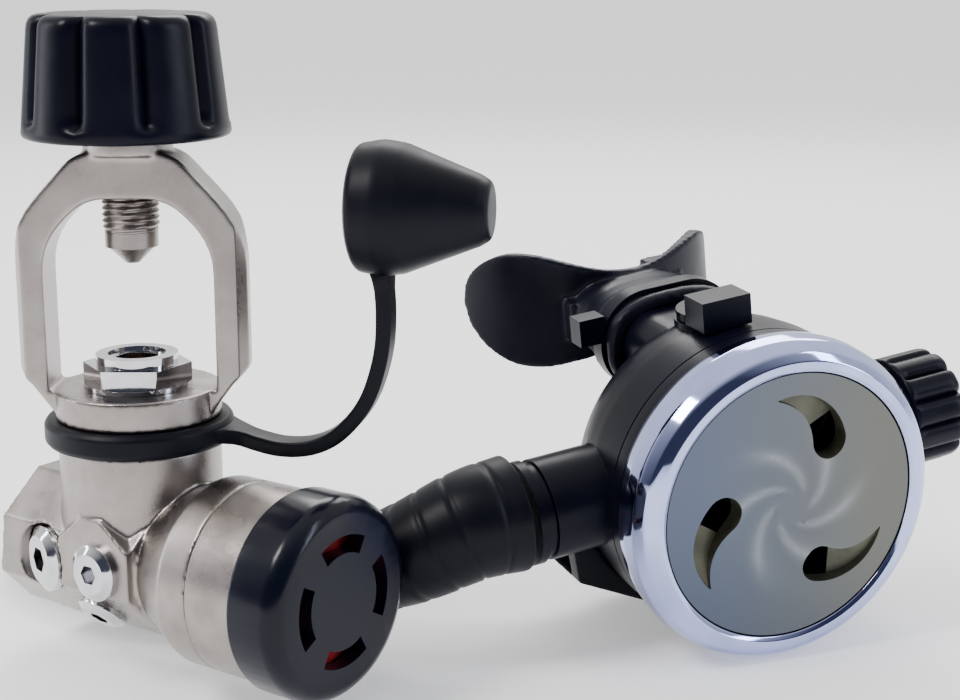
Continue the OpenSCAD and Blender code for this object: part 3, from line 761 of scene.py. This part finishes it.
def make_purge_plate():
    around = 180
    rim = [Vector(p) for p in circle_section(PLATE_R, around)]
    flat, triangles = plate_triangles(rim, [vent_outline(k) for k in range(VENTS)])
    points = [(p.x, plate_face(p), p.y) for p in flat]
    faces = [tuple(t) for t in triangles]
    base = len(points)
    for p in rim:
        points += [(p.x, plate_face(p), p.y), (p.x, PLATE_BACK, p.y)]
    faces += wall_faces(base, around)
    plate = piece("purge_plate_face", points, faces, SECOND, "plate_face", "purge_button", ["purge_plate"],
                  slot="plate_grey", smooth=18)
    paint_plate(plate)


def wall_faces(base, count):
    """Quads of a closed wall whose points alternate between its two edges."""
    return [(base + 2 * i, base + 2 * ((i + 1) % count), base + 2 * ((i + 1) % count) + 1, base + 2 * i + 1)
            for i in range(count)]


def paint_plate(plate):
    """Attribute for plate_finish: red runs across the plate and sets the painted blue reflection on its left,
    green marks the painted highlights on the creases.
    """
    tone = plate.data.color_attributes.new("tone", "FLOAT_COLOR", "POINT")
    to_local = SECOND.inverted()
    for vertex, entry in zip(plate.data.vertices, tone.data):
        p = to_local @ (vertex.co / MM)
        # red: left to right, for the painted blue reflection; green: painted highlights on the crease crests
        entry.color = (0.5 + p.x / (2 * PLATE_R), 0.45 * swirl(p.x, p.z) ** 3.5, 0, 1)


def make_vent_scoops():
    """Sunken walls and floor of each vent, deepest at its head."""
    points, faces = [], []
    far = 2 * VENT_STEPS + 1
    for k in range(VENTS):
        top = vent_outline(k, 0.02)
        low = vent_outline(k, -0.25)
        base = len(points)
        for i, (p, q) in enumerate(zip(top, low)):
            u = i / VENT_STEPS if i <= VENT_STEPS else max(0, far - i) / VENT_STEPS
            depth = 0.35 + 3.6 * (1 - u) ** 1.1
            points.append((p.x, plate_face(p) + 0.02, p.y))
            points.append((q.x, PLATE_FRONT + depth, q.y))
        faces += wall_faces(base, len(top))
        # floor between the two long sides, from near the head to the tail
        for i in range(6, VENT_STEPS):
            faces.append(tuple(base + 2 * q + 1 for q in (i, i + 1, far - (i + 1), far - i)))
    piece("purge_vent_scoops", points, faces, SECOND, "vent_olive", "purge_button", slot="plate_grey",
          smooth=50)


def make_adjust_knob():
    """Fluted grip on a narrower plain neck."""
    place = SECOND @ shift(0, BARREL_Y, BARREL_Z) @ TO_X
    neck_r, grip_r, neck_top, flute_depth = 12.6, 14.5, 46.2, 2.0

    def radius(a, h):
        u = abs(math.sin(6 * a))
        depth = flute_depth * min(1, max(0, (h - 46.8) / 1.2))
        return (neck_r if h < neck_top else grip_r) - depth * (1 - u) ** 2.0

    heights = [(42.1, 0.96), (42.5, 1), (44, 1), (46.1, 1), (46.3, 0.97), (46.8, 1), (47.6, 1), (48.4, 1)]
    heights += [(49.6 + 1.4 * i, 1) for i in range(7)]
    heights += [(59.4, 0.998), (60.4, 0.98), (61.1, 0.95), (61.5, 0.90), (61.6, 0.84), (61.4, 0.6)]
    heights += [(61.0, 0.3)]
    piece("adjust_knob_grip", *wrapped(radius, heights, 360), place, "black_plastic", "adjuster",
          ["adjust_knob"], smooth=50)


def oval(width, height, count, power=2.6):
    """Outline between an ellipse (power 2) and a rectangle (a high power)."""
    out = []
    for k in range(count):
        a = 2 * math.pi * k / count
        c, s = math.cos(a), math.sin(a)
        out.append((width / 2 * math.copysign(abs(c) ** (2 / power), c),
                    height / 2 * math.copysign(abs(s) ** (2 / power), s)))
    return out


def join_as_solid(name, parts, place, voxel, turns):
    """Fuses closed shells, in millimetres in the frame `place`, into one soft moulded solid."""
    bm = bmesh.new()
    for points, faces in parts:
        verts = [bm.verts.new((place @ Vector(p)) * MM) for p in points]
        for face in faces:
            bm.faces.new([verts[i] for i in face])
    bmesh.ops.recalc_face_normals(bm, faces=bm.faces)
    mesh = bpy.data.meshes.new(name)
    bm.to_mesh(mesh)
    bm.free()
    obj = bpy.data.objects.new(name, mesh)
    bpy.context.scene.collection.objects.link(obj)
    soften(obj, voxel, turns)
    return obj


def flange_shell():
    """Lip flange: a curved butterfly-shaped sheet, taller and thicker at its wings and tilted sideways."""
    points, faces = [], []
    across, tall = 56, 16
    centre_y, radius, thick, half_angle, tilt = 108.5, 38.6, 2.6, 74, 0.085
    for layer in (0, 1):
        for i in range(across + 1):
            phi = math.radians(-half_angle + 2 * half_angle * i / across)
            v = abs(phi) / math.radians(half_angle)
            wing = 6.2 * math.sin(math.pi * min(1, v * 0.72)) ** 2
            half = (10.5 + wing) * math.sqrt(max(0.0, 1 - v ** 4)) + 0.5
            rr = radius - (thick + 2.4 * v * v) * layer
            for j in range(tall + 1):
                w = -1 + 2 * j / tall
                lean = 1.5 * (1 - w * w) * (1 - v)
                points.append((rr * math.sin(phi), centre_y - rr * math.cos(phi) + lean * 0.4,
                               SPOUT_Z + 1.0 + half * w - tilt * rr * math.sin(phi)))
    row = tall + 1
    block = (across + 1) * row
    for i in range(across):
        for j in range(tall):
            a = i * row + j
            faces.append((a, a + 1, a + row + 1, a + row))
            b = a + block
            faces.append((b, b + row, b + row + 1, b + 1))
    for i in range(across):
        for j, flip in ((0, False), (tall, True)):
            a, b = i * row + j, (i + 1) * row + j
            quad = (a, b, b + block, a + block)
            faces.append(quad if not flip else tuple(reversed(quad)))
    for j in range(tall):
        for i, flip in ((0, True), (across, False)):
            a, b = i * row + j, i * row + j + 1
            quad = (a, b, b + block, a + block)
            faces.append(quad if not flip else tuple(reversed(quad)))
    return points, faces


def box_shell(x0, x1, y0, y1, z0, z1):
    """Points and faces of a box."""
    points = [(x, y, z) for x in (x0, x1) for y in (y0, y1) for z in (z0, z1)]
    return points, [(0, 1, 3, 2), (4, 6, 7, 5), (0, 4, 5, 1), (2, 3, 7, 6), (0, 2, 6, 4), (1, 5, 7, 3)]


def tube_shell(stations, inner):
    """Closed oval tube along Y: outer stations (y, width, height, z), then inner ones back again."""
    rings = stations + list(reversed(inner))
    points, faces = [], []
    count = 48
    for y, width, height, z in rings:
        points += [(x, y, z + dz) for x, dz in oval(width, height, count)]
    n = len(rings)
    for i in range(n):
        for k in range(count):
            m = (k + 1) % count
            a, b = i * count, ((i + 1) % n) * count
            faces.append((a + k, a + m, b + m, b + k))
    return points, faces


def make_mouthpiece():
    """Oval spout with two collars, the lip flange and two bite tabs, as one moulding."""
    outer = [(45, 36, 24, SPOUT_Z), (47, 37.5, 25.5, SPOUT_Z), (48.6, 36, 24, SPOUT_Z), (54, 36, 24, SPOUT_Z),
             (55.5, 37.5, 25.5, SPOUT_Z), (58, 35, 23.5, SPOUT_Z), (64, 33, 21, SPOUT_Z + 0.5),
             (70, 34, 20, SPOUT_Z + 1), (74, 31, 18, SPOUT_Z + 1)]
    inner = [(45, 30.2, 18.2, SPOUT_Z), (60.4, 30.2, 18.2, SPOUT_Z), (60.6, 25, 12.5, SPOUT_Z),
             (74, 24, 11, SPOUT_Z + 1)]
    parts = [tube_shell(outer, inner), flange_shell()]
    for side in (-1, 1):
        x = side * 16
        parts.append(box_shell(x - 1.7, x + 1.7, 69, 86, SPOUT_Z - 4.5, SPOUT_Z + 6.5))
        parts.append(box_shell(x - 3.6, x + 3.6, 84.5, 89, SPOUT_Z - 6, SPOUT_Z + 8))
    obj = join_as_solid("mouthpiece_silicone", parts, SECOND, 0.62, 6)
    dress(obj, "silicone", "second_stage", ["mouthpiece"], smooth=80)


def second_stage():
    make_second_springs()
    make_bezel()
    make_purge_plate()
    make_vent_scoops()
    make_adjust_knob()
    make_mouthpiece()
    refine("second_stage_case", "black_plastic", 0.6, 28, 2)
    refine("front_cover", "black_plastic", 0.4)
    refine("swivel_nut", "black_plastic", 0.4)
    refine("mouthpiece_tie", "black_plastic", 0.4)
    cast("exhaust_tee", "black_rubber", "second_stage", 0.4, 14)
    refine("exhaust_valve", "silicone", 0.2)
    refine("venturi_lever", "black_plastic", 0.5)
    refine("venturi_vane", "black_plastic", 0.2)
    for node, material in (
        ("demand_diaphragm", "clear_silicone"), ("demand_lever", "steel"),
        ("valve_barrel", "chrome"), ("orifice_seat", "brass"), ("poppet", "white_plastic"),
        ("spring_pad", "white_plastic"), ("adjusting_shaft", "steel"),
    ):
        refine(node, material, 0.1)


make_camera()
hose, hose_length = make_hose()
protector = make_protector()
make_lights()
make_world()
make_floor()
first_stage()
second_stage()
